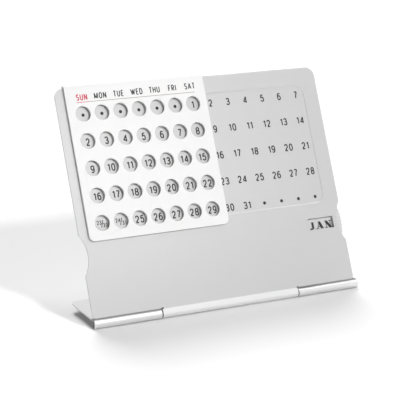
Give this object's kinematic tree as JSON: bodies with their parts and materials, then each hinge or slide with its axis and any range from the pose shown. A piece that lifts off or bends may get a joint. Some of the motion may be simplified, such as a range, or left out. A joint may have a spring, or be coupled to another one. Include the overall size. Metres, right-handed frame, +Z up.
{
  "type": "perpetual desk calendar",
  "caption": "Folding sheet-metal perpetual desk calendar: hinged base, leaning date panel with a perforated weekday slider and a month wheel behind a window.",
  "frame": {"origin": "middle of the underside of the bounding box, on the table the feet stand on", "axes": "+X to the right along the hinge as seen by the reader, +Y away from the reader towards the base plate's rear edge, +Z up"},
  "size_m": [0.1526, 0.051, 0.1139],
  "materials": {
    "panel_aluminium": "satin anodised, fine grain",
    "base_aluminium": "satin anodised, brighter on the rolled knuckles",
    "white_enamel": "white enamel on aluminium sheet, soft gloss",
    "wheel_plastic": "light grey moulded plastic, satin",
    "steel": "bright turned steel",
    "dark_nylon": "dark nylon",
    "foot_rubber": "matt black rubber"
  },
  "bodies": {
    "base": {"base_plate": "base_aluminium", "hinge_pin": "steel", "left_hinge_washer": "dark_nylon", "right_hinge_washer": "dark_nylon", "front_left_foot": "foot_rubber", "front_right_foot": "foot_rubber", "rear_left_foot": "foot_rubber", "rear_right_foot": "foot_rubber"},
    "panel": {"front_panel": "panel_aluminium", "wheel_stud": "steel", "wheel_washer": "dark_nylon", "wheel_spring_washer": "steel", "wheel_clip": "steel"},
    "slider": {"calendar_slider": "white_enamel", "left_slider_glide": "dark_nylon", "right_slider_glide": "dark_nylon"},
    "wheel": {"month_wheel": "wheel_plastic"}
  },
  "joints": [
    {"name": "panel_tilt", "type": "hinge", "parent": "base", "child": "panel", "pos_m": [0.00035, -0.02332, 0.0025], "axis": [1, 0, 0], "range_deg": [-22, 110]},
    {"name": "slider_slide", "type": "slide", "parent": "panel", "child": "slider", "axis": [1, 0, 0], "range_m": [0, 0.0615]},
    {"name": "month_wheel_turn", "type": "hinge", "parent": "panel", "child": "wheel", "pos_m": [0.04435, -0.00971, 0.03404], "axis": [0, -0.9135, 0.4067], "continuous": true}
  ]
}
